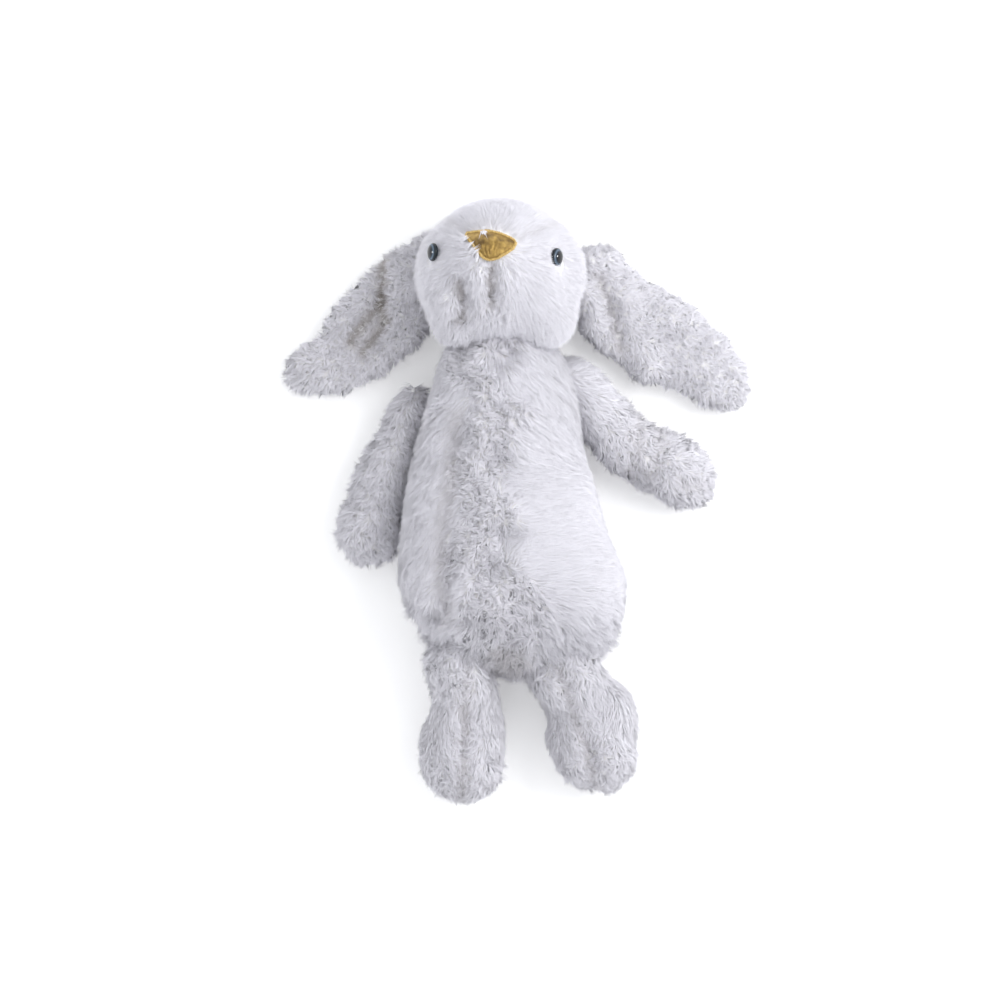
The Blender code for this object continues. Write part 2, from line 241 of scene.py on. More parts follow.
def roughen(nodes, links, shader, pattern, strength, depth):
    """Lets a pattern stand out from a surface by a depth in metres."""
    bump = nodes.new("ShaderNodeBump")
    bump.inputs["Strength"].default_value = strength
    bump.inputs["Distance"].default_value = depth
    links.new(pattern.outputs["Fac"], bump.inputs["Height"])
    links.new(bump.outputs["Normal"], shader.inputs["Normal"])


print("material helpers ready")

# %% [markdown]
# Plush hair is not one flat white. It is greyer down at the backing and whitest at the tips, and
# each hair differs a little. The hairs carry an attribute called tone, from 0 at the root to 1 at
# the tip, and another called shade, which paints shade into the colour: in creases and folds, and
# on the parts turned away from the lamp. The material mixes its colour from both, which keeps the
# colours on the hairs when the hairs move.

# %% Plush hair
PILE, nodes, links, shader = finish(
    "plush_pile", 0.92, Sheen_Weight=0.25, Sheen_Roughness=0.5, Specular_IOR_Level=0.15)
tone = nodes.new("ShaderNodeAttribute")
tone.attribute_name = "tone"
colours = ramp(nodes, [
    (0.0, (0.89, 0.88, 0.925)), (0.35, (0.925, 0.915, 0.975)), (1.0, (0.935, 0.925, 0.99))])
links.new(tone.outputs["Fac"], colours.inputs["Fac"])
shade = nodes.new("ShaderNodeAttribute")
shade.attribute_name = "shade"
painted_shade_mix = nodes.new("ShaderNodeMix")
painted_shade_mix.data_type = "RGBA"
painted_shade_mix.blend_type = "MULTIPLY"
# The shade attribute darkens the hair towards this beige: painted shade.
PAINTED_SHADE_BEIGE = (0.46, 0.42, 0.365, 1)
painted_shade_mix.inputs["B"].default_value = PAINTED_SHADE_BEIGE
links.new(shade.outputs["Fac"], painted_shade_mix.inputs["Factor"])
links.new(colours.outputs["Color"], painted_shade_mix.inputs["A"])
links.new(painted_shade_mix.outputs["Result"], shader.inputs["Base Color"])
print(PILE.name, "has", len(nodes), "nodes")

# %% [markdown]
# The knitted backing only shows between the hairs. A fine noise stands for its loops, as both a
# colour and a bump. A real knit pattern would be wasted here, because the loops are smaller than
# the gaps they show in.

# %% Backing cloth
BACKING, nodes, links, shader = finish("plush_backing", 0.95)
knit = mottle(nodes, links, shader, 900.0, [(0.3, (0.80, 0.79, 0.79)), (0.7, (0.88, 0.87, 0.88))])[1]
roughen(nodes, links, shader, knit, strength=0.4, depth=0.0004)
print(BACKING.name, "has", len(nodes), "nodes")


# %% [markdown]
# ## Stuffed forms
#
# Each stuffed part starts as a ball. Its rings are moved to the sizes of a row of cross-sections,
# which is quicker and rounder than lofting panels. Forms that run into each other are joined and
# remeshed into one skin, then smoothed. The skins sit about half a centimetre inside the outline,
# because the hair adds the rest.


# %% Helpers for selecting and placing
def deselect():
    """Deselects everything, because an operator acts on all that is selected."""
    bpy.ops.object.select_all(action="DESELECT")


def only(piece):
    """Selects one piece and makes it the active one."""
    deselect()
    piece.select_set(True)
    bpy.context.view_layer.objects.active = piece


def settle(piece):
    """Puts a piece's place into its mesh."""
    only(piece)
    bpy.ops.object.transform_apply(location=True, rotation=True, scale=True)


print("selecting helpers ready")


# %% Points of a mesh in millimetres
def get_points(mesh):
    points = np.empty(len(mesh.vertices) * 3)
    mesh.vertices.foreach_get("co", points)
    return points.reshape(-1, 3) / MM


def set_points(mesh, points):
    mesh.vertices.foreach_set("co", (points * MM).ravel())
    mesh.update()


def get_normals(mesh):
    normals = np.empty(len(mesh.vertices) * 3)
    mesh.vertices.foreach_get("normal", normals)
    return normals.reshape(-1, 3)


print("mesh helpers ready")


# %% A smooth curve through a few values
def smooth_through(stations, values, where):
    """A smooth curve through the values at the stations, read at other places."""
    stations, values = np.array(stations, float), np.array(values, float)
    if stations[0] > stations[-1]:
        stations, values = stations[::-1], values[::-1]
    slopes = np.gradient(values, stations)
    index = np.clip(np.searchsorted(stations, where) - 1, 0, len(stations) - 2)
    gap = stations[index + 1] - stations[index]
    share = np.clip((where - stations[index]) / gap, 0, 1)
    return (values[index] * (1 + 2 * share) * (1 - share) ** 2
            + gap * slopes[index] * share * (1 - share) ** 2
            + values[index + 1] * share ** 2 * (3 - 2 * share)
            + gap * slopes[index + 1] * share ** 2 * (share - 1))


print("halfway between 0 and 10:", smooth_through([0, 1], [0, 10], np.array([0.5]))[0])


# %% A ball shaped by cross-sections
def lathe_ball(name, sections, origin=(0, 0, 0), turn_deg=0.0, boxy=1.0):
    """A ball whose rings follow cross-sections in a turned frame.

    Each section is (along, across, half width, lowest, highest). boxy below 1 makes the sections squarer.
    """
    deselect()
    bpy.ops.mesh.primitive_uv_sphere_add(segments=64, ring_count=40, radius=1.0)
    piece = bpy.context.object
    piece.name = name
    table = np.array(sections, float)
    ball = get_points(piece.data) * MM
    polar = np.arccos(np.clip(ball[:, 2], -1, 1)) / math.pi
    along = table[0, 0] + (table[-1, 0] - table[0, 0]) * (1 - np.cos(polar * math.pi)) / 2
    round_it = np.arctan2(ball[:, 1], ball[:, 0])
    end = np.sin(polar * math.pi) > 1e-6
    across, half, low, high = (
        smooth_through(table[:, 0], table[:, column], along) for column in range(1, 5))
    cosine, sine = np.cos(round_it), np.sin(round_it)
    sideways = across + half * np.sign(cosine) * np.abs(cosine) ** boxy * end
    upwards = (low + high) / 2 + (high - low) / 2 * np.sign(sine) * np.abs(sine) ** boxy * end
    turn = math.radians(turn_deg)
    points = np.column_stack([
        origin[0] + along * math.cos(turn) - sideways * math.sin(turn),
        origin[1] + along * math.sin(turn) + sideways * math.cos(turn),
        origin[2] + upwards])
    set_points(piece.data, points)
    only(piece)
    bpy.ops.object.mode_set(mode="EDIT")
    bpy.ops.mesh.select_all(action="SELECT")
    bpy.ops.mesh.normals_make_consistent(inside=False)
    bpy.ops.object.mode_set(mode="OBJECT")
    return piece


print("section helper ready")


# %% Lumps joined into one skin
def lump(centre, radii, turn_deg=0.0):
    """A round handful of filling, to be joined into a form."""
    deselect()
    bpy.ops.mesh.primitive_uv_sphere_add(
        segments=48, ring_count=24, radius=MM, location=Vector(centre) * MM)
    piece = bpy.context.object
    piece.scale = radii
    piece.rotation_euler.z = math.radians(turn_deg)
    settle(piece)
    return piece


def apply_modifier(piece, kind, **settings):
    """Adds a modifier, sets it, and applies it."""
    only(piece)
    modifier = piece.modifiers.new(kind.lower(), kind)
    for key, value in settings.items():
        setattr(modifier, key, value)
    bpy.ops.object.modifier_apply(modifier=modifier.name)


def one_skin(name, parts, voxel=3.0, smoothing=6):
    """Joins overlapping forms into one closed skin of even quads."""
    deselect()
    for part in parts:
        part.select_set(True)
    bpy.context.view_layer.objects.active = parts[0]
    if len(parts) > 1:
        bpy.ops.object.join()
    skin = bpy.context.object
    skin.name = name
    skin.data.name = name
    apply_modifier(skin, "REMESH", mode="VOXEL", voxel_size=voxel * MM)
    apply_modifier(skin, "SMOOTH", factor=0.5, iterations=smoothing)
    bpy.ops.object.shade_smooth()
    skin.data.materials.clear()
    skin.data.materials.append(BACKING)
    print(name, len(skin.data.polygons), "faces")
    return skin


print("skin helpers ready")


# %% [markdown]
# ### How stuffing swells the cloth
#
# A filled skin bulges between its seams. Blender's Cloth with a little pressure does this: the skin
# swells and its fabric holds it back. The move is capped, so the toy keeps its size, and parts that
# lie on the floor are pressed flat again.


# %% Stuff a skin
def stuff(skin, most=3.0, frames=12, pressure=4.0):
    """Swells a closed skin with Cloth, and caps how far a point may move, in millimetres."""
    before = get_points(skin.data)
    only(skin)
    modifier = skin.modifiers.new("stuffing", "CLOTH")
    modifier.settings.use_pressure = True
    modifier.settings.uniform_pressure_force = pressure
    modifier.settings.effector_weights.gravity = 0.0
    modifier.settings.quality = 4
    modifier.collision_settings.use_collision = False
    for step in range(1, frames + 1):
        bpy.context.scene.frame_set(step)
    bpy.ops.object.modifier_apply(modifier=modifier.name)
    bpy.context.scene.frame_set(1)
    moved = get_points(skin.data) - before
    far = np.linalg.norm(moved, axis=1, keepdims=True)
    capped = moved * np.minimum(1.0, most / np.maximum(far, 1e-6))
    set_points(skin.data, before + capped)
    apply_modifier(skin, "SMOOTH", factor=0.5, iterations=2)
    print(skin.name, "swelled by up to", round(float(far.max()), 1), "mm, kept to", most)


UNDERSIDE = 4.5  # where the backing lies above the floor, in millimetres: the hair under it takes the rest


def press_down(skin):
    """Flattens a skin where it lies on the floor."""
    points = get_points(skin.data)
    depth = UNDERSIDE - points[:, 2]
    points[:, 2] = np.where(depth > 0, UNDERSIDE - 0.15 * np.minimum(depth, 4), points[:, 2])
    set_points(skin.data, points)


print("stuffing is", "on")

# %% [markdown]
# A seam or a fold pulls the cloth in along a line, and loose filling makes it uneven. Both are done
# by moving the skin's points along their normals. Sculpting would do too, but a script can't hold a
# brush.


# %% Crease and ruffle a skin
def distance_to_line(points, line):
    """How far points are from a line of points, in millimetres."""
    line = np.array(line, float)
    nearest = np.full(len(points), 1e9)
    for first, second in zip(line[:-1], line[1:]):
        step = second - first
        share = np.clip((points - first) @ step / (step @ step), 0, 1)
        nearest = np.minimum(nearest, np.linalg.norm(points - first - share[:, None] * step, axis=1))
    return nearest


def crease(skin, line, deep, wide):
    """Pulls the upper side of a skin in along a line seen from above, as a seam or a fold does."""
    points, normals = get_points(skin.data), get_normals(skin.data)
    near = distance_to_line(points[:, :2], line)
    near = np.where(normals[:, 2] > -0.1, near, 1e9)
    set_points(skin.data, points - normals * (deep * np.exp(-(near / wide) ** 2))[:, None])


def wander(points, size, seed):
    """A random direction at each point, which changes over about the given size in millimetres."""
    dice = np.random.default_rng(seed)
    count = 16
    heading = dice.normal(size=(count, 3))
    heading /= np.linalg.norm(heading, axis=1, keepdims=True)
    waves = heading * (2 * math.pi / (size * dice.uniform(1.4, 3.2, count)))[:, None]
    phase = dice.uniform(0, 2 * math.pi, (3, count))
    angle = points @ waves.T
    swing = [np.sin(angle + phase[axis]).sum(axis=1) for axis in range(3)]
    return np.column_stack(swing) / math.sqrt(count / 2)


def unit(vectors):
    """The same directions, each of length one."""
    return vectors / np.maximum(np.linalg.norm(vectors, axis=1, keepdims=True), 1e-9)


def ruffle(skin, high, size, seed, where=None):
    """Makes a skin uneven, as loose filling does, by up to about the given height."""
    points, normals = get_points(skin.data), get_normals(skin.data)
    uneven = wander(points, size, seed)[:, :1] * high
    if where is not None:
        uneven = uneven * where(points)[:, None]
    set_points(skin.data, points + normals * uneven)


print("form tools ready")

# %% [markdown]
# ### Torso
#
# The torso is a pear: narrow at the neck, widest at the belly, where the bean pouch lies. It leans
# a little, so each cross-section has its own middle. A short stub runs up into the head, so the
# neck never opens.

# %% Torso form
torso_sections = [
    # along Y, middle X, half width, lowest, highest
    (92, -7.0, 6, 30, 40), (86, -7.0, 17, 20, 52), (76, -6.5, 25.5, 10, 57.5), (64, -7.2, 30.5, 6, 59.5),
    (48, -7.8, 35, 5, 60.5), (25, -7.9, 40.5, 4.5, 61.5), (0, -6.3, 46.5, 4.5, 65.5),
    (-25, -4.4, 51.3, 4.5, 68), (-45, -1.2, 53.6, 4.5, 67.5), (-60, 2.0, 49, 5, 62),
    (-70, 2.8, 43, 7, 54), (-79, 2.5, 30, 12, 42), (-84, 2.0, 8, 20, 28)]
torso = lathe_ball("torso_skin", [(y, -x, half, low, high) for y, x, half, low, high in torso_sections],
                   turn_deg=90.0, boxy=0.92)
torso = one_skin("torso_skin", [torso], voxel=3.5)
stuff(torso, most=2.0)
press_down(torso)
FRONT_SEAM = [(-8.0, 78), (-8.5, 50), (-8.0, 20), (-6.0, -10), (-4.0, -40), (-2.0, -75)]
SIDE_VALLEY = [(-27, 45), (-30, 15), (-33, -5), (-36, -30), (-32, -58)]
crease(torso, FRONT_SEAM, 2.0, 5.0)
crease(torso, SIDE_VALLEY, 3.2, 6.0)
ruffle(torso, 1.5, 9.0, 61, lambda points: np.exp(-((points[:, 0] + 14) / 20) ** 4))
ruffle(torso, 0.8, 22.0, 62)
print("torso creased along the front seam and the side valley")

# %% [markdown]
# ### Head
#
# The head is round, with a muzzle that points up and a little towards the crown. It is turned
# slightly to the toy's right. Two cheeks bulge beside the mouth, and the mouth itself is a crease
# pulled in by the seam.

# %% Head form
head = one_skin("head_skin", [
    lump((-7, 114, 37), (41, 35.5, 32)),
    lump((-9.5, 116, 51), (36.5, 32, 27)),
    lump((-11, 119, 64), (24, 22, 20)),
    lump((-26, 103, 54), (17, 15, 17)),
    lump((6, 103, 54), (17, 15, 17)),
    lump((-7, 138, 42), (22, 12, 22)),
    lump((-24, 94, 42), (17.5, 17, 22)),
    lump((13, 94, 42), (17, 17, 22)),
], voxel=3.0, smoothing=8)
stuff(head, most=1.5)
press_down(head)
MOUTH_LINES = [[(-11.7, 116), (-11.3, 100)], [(-27, 110), (-26, 103), (-25, 98), (-27, 92)]]
BROW_LINE = [(-42, 138), (-33, 139), (-24, 134.5), (-12, 136), (1, 130), (12, 136), (24, 141)]
crease(head, MOUTH_LINES[0], 4.8, 3.6)
crease(head, MOUTH_LINES[1], 4.2, 3.8)
crease(head, BROW_LINE, 1.5, 5.0)
press_down(head)
print("head creased at the mouth and the brow")

# %% [markdown]
# ### Limbs and ears
#
# The arms and legs are sausages with a blunt end. They are hardly filled, so they lie flat and
# fold. Each is one ball shaped by cross-sections along its own axis, which starts at its hinge and
# points down the limb.


# %% Limb forms
def limb(name, joint, turn_deg, sections, voxel=3.0, smoothing=5, boxy=0.95):
    """A limb along its own axis, from its joint."""
    east, north = joint_place(joint)[:2]
    form = lathe_ball(name, sections, origin=(east, north, 0), turn_deg=turn_deg, boxy=boxy)
    return one_skin(name, [form], voxel, smoothing)


left_arm = limb("left_arm_skin", "left_arm_lift", -36.0, [
    (-39, 5, 4, 14, 22), (-32, 5, 8, 9, 28), (-20, 3.5, 10.5, 6, 29), (-8, -1.2, 13, 5, 27),
    (7, -3, 12.8, 5, 25), (20, -2.7, 14.5, 5, 24), (35, -3.2, 15.2, 4.5, 25), (47, -0.8, 15, 4.5, 25),
    (55, -0.5, 12.5, 5, 23), (60, -1.5, 7.5, 7, 18), (63, -2, 3, 10, 14)])
right_arm = limb("right_arm_skin", "right_arm_lift", -107.0, [
    (-18, 8, 4, 12, 20), (-10, 7, 7.5, 7, 24), (2, 6, 9.5, 5, 27), (17, 5, 11, 5, 27),
    (35, 4.5, 12, 4.5, 27), (48, 4, 13.8, 4.5, 27), (60, 4.5, 14.8, 4.5, 26), (68, 6, 12, 5, 23),
    (72, 7, 7.5, 8, 18), (75, 7, 3, 10, 14)])
left_leg = limb("left_leg_skin", "left_hip_fold", -77.0, [
    (-30, -6, 6, 18, 32), (-20, -6, 14, 7, 45), (-8, -5.2, 17, 5, 48), (2, -3, 17.8, 4.5, 44.5),
    (14, 2, 19.3, 4.5, 39), (22, 2.6, 20.3, 4.5, 38), (34, 1.5, 19.3, 4.5, 39), (45, 1.5, 16.5, 5, 38),
    (51, 1.2, 11.5, 8, 33), (55, 1, 4, 14, 26)])
right_leg = limb("right_leg_skin", "right_hip_fold", -90.0, [
    (-28, -2, 6, 18, 32), (-18, -2, 13, 7, 45), (-6, -1, 14, 5, 47.5), (8, 1, 13.8, 4.5, 43),
    (20, 0.5, 17.5, 4.5, 39), (34, 0, 20.2, 4.5, 39), (44, 0, 17.5, 4.5, 39), (53, 0, 13, 6, 36),
    (59, 0, 5, 12, 28)])
tail_place = joint_place("tail_flick")
tail = one_skin("tail_skin", [lump(tail_place + np.array([0, -6, 2]), (8, 8, 7.5))], voxel=2.0, smoothing=2)

# %% [markdown]
# The ears aren't filled at all: two layers of plush sewn together, which lie flat on the floor. The
# same way of shaping is used, with thinner and squarer sections and smaller voxels, so the thin
# edge isn't lost.

# %% Ear forms
EAR_CUT = {"voxel": 2.5, "smoothing": 4, "boxy": 0.8}
left_ear = limb("left_ear_skin", "left_ear_flap", -30.0, [
    (-16, 14, 6, 12, 22), (-12, 13, 11, 10, 22), (-4, 8, 18, 6, 21), (12, 3, 20.5, 4.5, 16),
    (26, 1.2, 21.5, 4, 13.5), (46, -1.7, 21.5, 4, 12.5), (60, -1.6, 19, 4, 12), (77, -2.1, 14.8, 4, 11.5),
    (86, -4.3, 9, 4, 11), (90.5, -5, 4, 5, 9)], **EAR_CUT)
right_ear = limb("right_ear_skin", "right_ear_flap", 215.0, [
    (-28, -9, 5, 14, 24), (-22, -7, 10, 11, 24), (-14, -4, 14, 8, 24), (-4, -1, 18, 5, 21),
    (7, 1.2, 20.5, 4.5, 17), (18, 4.2, 21.3, 4, 14), (28, 7, 21.3, 4, 13), (38, 8, 19.5, 4, 12.5),
    (47.5, 8.5, 17, 4, 12),
    (61, 7.2, 13.4, 4, 12), (71, 5.2, 9, 4, 11), (76.5, 4.5, 4, 5, 9)], **EAR_CUT)

# %% [markdown]
# The left arm folds where it is hardly filled, a seam runs along the top of each leg, and each ear
# has a fold down its inside. The lines are listed as seen from above, and the hair uses them
# again for its painted shade.

# %% Folds of the limbs and ears
ARM_FOLDS = [[(60.7, 40), (62, 26), (58, 14)], [(71.3, 36), (73, 25.6), (69, 14)], [(84, 9.5), (90, 8.5)]]
LEG_SEAMS = [
    [(22, -84), (29, -104), (38, -130), (41, -146)],
    [(-24, -84), (-25, -110), (-26, -135), (-26, -152)]]
LEFT_EAR_FOLDS = [[(41, 113), (46, 104), (50, 92), (53, 78)]]
RIGHT_EAR_FOLDS = [
    [(-64.8, 120.2), (-66.3, 104.5), (-64.8, 91.3), (-75.9, 75.1)],
    [(-66.8, 102), (-82.5, 80.7)]]
for line in ARM_FOLDS:
    crease(left_arm, line, 1.8, 3.0)
for leg, line in zip((left_leg, right_leg), LEG_SEAMS):
    crease(leg, line, 2.5, 5.0)
for line in LEFT_EAR_FOLDS:
    crease(left_ear, line, 2.4, 4.5)
for line in RIGHT_EAR_FOLDS:
    crease(right_ear, line, 3.0, 4.5)
for index, form in enumerate((left_arm, right_arm, left_leg, right_leg, left_ear, right_ear)):
    ruffle(form, 0.9, 11.0, 70 + index)
for form in (left_arm, right_arm, left_leg, right_leg):
    stuff(form, most=1.5)
    press_down(form)
print(len(ARM_FOLDS + LEG_SEAMS + LEFT_EAR_FOLDS + RIGHT_EAR_FOLDS), "folds and seams pulled in")


# %% [markdown]
# ## Which skin follows which body
#
# The torso is the root. The head rides on its own body. Arms, legs, ears and the tail are sewn on.
# The table below gives the parent body, hinge and seam of each, but their pieces only have their
# places put into their meshes. Each padded skin stands for the CAD panels and filling in its place,
# which are hidden.

# %% Bodies of the skins
BENDS = {
    # body: (parent body, joint, direction out of the parent, where the bend starts and ends along it)
    "left_arm": ("torso", "left_arm_lift", (0.81, -0.59, 0.0), -16.0, 8.0),
    "right_arm": ("torso", "right_arm_lift", (-0.55, -0.83, 0.0), -10.0, 10.0),
    "left_leg": ("torso", "left_hip_fold", (0.22, -0.97, 0.0), -10.0, 10.0),
    "right_leg": ("torso", "right_hip_fold", (0.0, -1.0, 0.0), -10.0, 10.0),
    "left_ear": ("head", "left_ear_flap", (1.0, 0.0, 0.0), -6.0, 8.0),
    "right_ear": ("head", "right_ear_flap", (-1.0, 0.0, 0.0), -6.0, 8.0),
    "tail": ("torso", "tail_flick", (0.0, -1.0, 0.0), -4.0, 3.0),
}


def sew_on(piece, body):
    """Rides a piece on its body; a piece of a sewn-on body only has its place put into its mesh."""
    if body not in BENDS:
        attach(piece, body)
        return
    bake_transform(piece)


SKINS = {"torso": torso, "head": head, "left_arm": left_arm, "right_arm": right_arm, "left_leg": left_leg,
         "right_leg": right_leg, "left_ear": left_ear, "right_ear": right_ear, "tail": tail}
STANDS_FOR = {
    "torso": [*TORSO_NODES, "torso_filling", "bean_pouch", "closing_stitch", "neck_filling"],
    "head": ["head_left_cheek", "head_right_cheek", "head_gusset", "head_filling"],
    "tail": ["tail_top", "tail_underside", "tail_filling"],
}
for side in ("left", "right"):
    STANDS_FOR[side + "_arm"] = [f"{side}_arm_{part}" for part in ("front", "back", "filling")]
    STANDS_FOR[side + "_leg"] = [f"{side}_leg_{part}" for part in ("inner", "outer", "sole", "filling")]
    STANDS_FOR[side + "_ear"] = [f"{side}_ear_{part}" for part in ("front", "back")]
for body, skin in SKINS.items():
    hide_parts(*STANDS_FOR[body])
print(len(SKINS), "skins placed")

# %% [markdown]
# The nose lies on the head, and hair mustn't grow where one skin is inside another. Both need the
# skin that is nearest to a point, over and over. A search tree finds it far quicker than trying
# every face.

# %% Search trees of the skins
TREES = {}
for body, skin in SKINS.items():
    shape = bmesh.new()
    shape.from_mesh(skin.data)
    TREES[body] = BVHTree.FromBMesh(shape)
    shape.free()
print(len(TREES), "search trees")

# %% [markdown]
# ## Eyes
#
# The eyes are the snap-in kind: a clear plastic dome over a painted disc, with a black pupil and a
# thin grey-blue ring. An attribute called ring runs from 0 in the middle to 1 at the rim, and the
# colour follows it, so nothing has to be painted.

# %% Eye finish
EYE, nodes, links, shader = finish("eye_plastic", 0.08, Coat_Weight=0.0, Specular_IOR_Level=0.35)
ring = nodes.new("ShaderNodeAttribute")
ring.attribute_name = "ring"
colours = ramp(nodes, [
    (0.0, (0.001, 0.001, 0.002)), (0.55, (0.002, 0.003, 0.005)), (0.68, (0.02, 0.03, 0.045)),
    (0.82, (0.10, 0.14, 0.19)), (0.93, (0.01, 0.015, 0.02))])
links.new(ring.outputs["Fac"], colours.inputs["Fac"])
links.new(colours.outputs["Color"], shader.inputs["Base Color"])
print(EYE.name, "has", len(nodes), "nodes")

# %% [markdown]
# A ball flattened to half its height gives the dome, and is turned so that each eye looks out to
# its own side. It sits where the CAD eye is, a little further out, because the skin round it is
# inside the outline.

# %% Eye domes
# The way each eye looks, out of the head
LOOKS = {"left_eye": (0.85, -0.05, 0.52), "right_eye": (-0.92, 0.04, 0.39)}
EYE_RADIUS = 4.6
EYE_STANDS_OUT = 1.5
EYES = {}
for name, look in LOOKS.items():
    look = np.array(look) / np.linalg.norm(look)
    EYES[name] = np.mean(node_box(name), axis=0) + look * EYE_STANDS_OUT
    deselect()
    bpy.ops.mesh.primitive_uv_sphere_add(segments=48, ring_count=32, radius=EYE_RADIUS * MM)
    eye = bpy.context.object
    eye.name = name + "_dome"
    across = np.linalg.norm(get_points(eye.data)[:, :2], axis=1) / EYE_RADIUS
    ring = eye.data.attributes.new("ring", "FLOAT", "POINT")
    ring.data.foreach_set("value", across)
    eye.scale = (1, 1, 0.5)
    eye.rotation_euler = Vector(look).to_track_quat("Z", "Y").to_euler()
    eye.location = Vector(EYES[name] * MM)
    settle(eye)
    bpy.ops.object.shade_smooth()
    eye.data.materials.append(EYE)
    EYES_ONLY.objects.link(eye)
    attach(eye, "head")
    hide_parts(name, name + "_washer")
    print(eye.name, "at", EYES[name].round(1))

# %% [markdown]
# ## Nose
#
# The nose is a three-cornered scrap of gold satin. Satin shines along its threads and shows darker
# where it dips, so the finish is partly metallic, and has fine waves as a bump for the threads. Its
# colour is mottled darker in patches by noise: painted shade for the dips, laid at random.

# %% Gold satin
SATIN, nodes, links, shader = finish("gold_satin", 0.42, metallic=0.55, Specular_IOR_Level=0.6)
# Noise darkens the gold in patches: painted shade for the satin's dips.
place = mottle(nodes, links, shader, 260.0, [
    (0.3, (0.13, 0.075, 0.02)), (0.5, (0.30, 0.19, 0.05)), (0.7, (0.50, 0.33, 0.09))], detail=4.0)[0]
weave = nodes.new("ShaderNodeTexWave")
weave.inputs["Scale"].default_value = 700.0
weave.inputs["Distortion"].default_value = 2.0
links.new(place.outputs["Object"], weave.inputs["Vector"])
roughen(nodes, links, shader, weave, strength=0.5, depth=0.0002)
print(SATIN.name, "has", len(nodes), "nodes")

# %% [markdown]
# The thread is the same gold, painted lighter: painted light for its twisted strands, which catch
# more light than flat cloth.

# %% Gold thread
LIGHTER_PAINTED_THREAD, nodes, links, shader = finish("gold_thread_painted_lighter", 0.35, metallic=0.4, Specular_IOR_Level=0.6)
# The thread's gold is painted lighter than the satin's: painted light.
mottle(nodes, links, shader, 900.0, [(0.3, (0.48, 0.33, 0.10)), (0.7, (0.80, 0.60, 0.25))])
print(LIGHTER_PAINTED_THREAD.name, "has", len(nodes), "nodes")

# %% [markdown]
# The outline is a flat shape with three soft corners. A few corner points are listed as shares of
# the CAD nose's width and height, then filled in evenly and rounded by averaging each point with
# its neighbours.


# %% Outline of the nose
def inside_outline(points, outline):
    """True for the flat points inside a closed outline."""
    inside = np.zeros(len(points), bool)
    for first, second in zip(outline, np.roll(outline, -1, axis=0)):
        crosses = (first[1] > points[:, 1]) != (second[1] > points[:, 1])
        run = (second[0] - first[0]) * (points[:, 1] - first[1]) / (second[1] - first[1] + 1e-9) + first[0]
        inside ^= crosses & (points[:, 0] < run)
    return inside


NOSE_SHARES = [
    (0.0, 0.93), (0.21, 0.97), (0.43, 1.0), (0.68, 0.91), (0.93, 0.72), (1.0, 0.60), (0.96, 0.42),
    (0.80, 0.22), (0.62, 0.05), (0.47, 0.0), (0.35, 0.06), (0.23, 0.28), (0.12, 0.55), (0.0, 0.80)]
NOSE_SIZE = NOSE_HIGH[:2] - NOSE_LOW[:2]
CORNERS = NOSE_LOW[:2] + np.array(NOSE_SHARES) * NOSE_SIZE
steps = np.linspace(0, len(CORNERS), 240, endpoint=False)
NOSE_OUTLINE = np.column_stack([
    np.interp(steps, np.arange(len(CORNERS) + 1), np.append(CORNERS[:, axis], CORNERS[0, axis]))
    for axis in range(2)])
for turn in range(6):
    before, after = np.roll(NOSE_OUTLINE, 1, axis=0), np.roll(NOSE_OUTLINE, -1, axis=0)
    NOSE_OUTLINE = (before + NOSE_OUTLINE * 2 + after) / 4
print("nose outline", len(NOSE_OUTLINE), "points")

# %% [markdown]
# The patch puffs a little and creases in a fan. A ball is stretched to the outline, laid on the
# muzzle and rippled. A flat sheet with a thickness would be simpler, but its edge would look like
# card, not folded cloth.


# %% Nose patch
def top_of_head(x, y):
    """The height of the head's skin, looked up by a ray from above."""
    hit = TREES["head"].ray_cast(Vector((x, y, 200)) * MM, Vector((0, 0, -1)))[0]
    return hit.z / MM


NOSE_MIDDLE = NOSE_OUTLINE.mean(axis=0)
spokes = NOSE_OUTLINE - NOSE_MIDDLE
spoke_turn = np.unwrap(np.arctan2(spokes[:, 1], spokes[:, 0]))
order = np.argsort(np.mod(spoke_turn, 2 * math.pi))
PUFF, LIFT, TUCK = 1.4, 1.7, 2.6
spoke_reach = np.linalg.norm(spokes, axis=1)[order]
spoke_turn = np.mod(spoke_turn, 2 * math.pi)[order]
deselect()
bpy.ops.mesh.primitive_uv_sphere_add(segments=128, ring_count=48, radius=MM)
nose = bpy.context.object
nose.name = "nose_satin"
points = get_points(nose.data)
from_middle = np.linalg.norm(points[:, :2], axis=1)
turned = np.mod(np.arctan2(points[:, 1], points[:, 0]), 2 * math.pi)
reach = np.interp(turned, spoke_turn, spoke_reach, period=2 * math.pi) * from_middle
x = NOSE_MIDDLE[0] + np.cos(turned) * reach
y = NOSE_MIDDLE[1] + np.sin(turned) * reach
base = np.array([top_of_head(px, py) for px, py in zip(x, y)])
fan = np.arctan2(y - NOSE_LOW[1] + 6.0, x - NOSE_MIDDLE[0])
folds = np.sin(fan * 34 + 0.9 * np.sin(y * 0.9)) * 0.5 + np.sin(fan * 57 + x * 0.7) * 0.3
top = base + LIFT + PUFF * points[:, 2]
top = top + folds * 0.6 * np.clip(1.2 - from_middle, 0, 1) * (points[:, 2] > 0)
bottom = base + LIFT + TUCK * points[:, 2]
set_points(nose.data, np.column_stack([x, y, np.where(points[:, 2] >= 0, top, bottom)]))
only(nose)
bpy.ops.object.shade_smooth()
nose.data.materials.append(SATIN)
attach(nose, "head")
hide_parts("nose_patch")
print(nose.name, len(nose.data.polygons), "faces")

# %% [markdown]
# The edge of the patch is sewn down with a close satin stitch. The stitches are modelled one by
# one, because the edge catches the light on each. Each is a tiny stretched ball, set across the
# outline and a little askew.

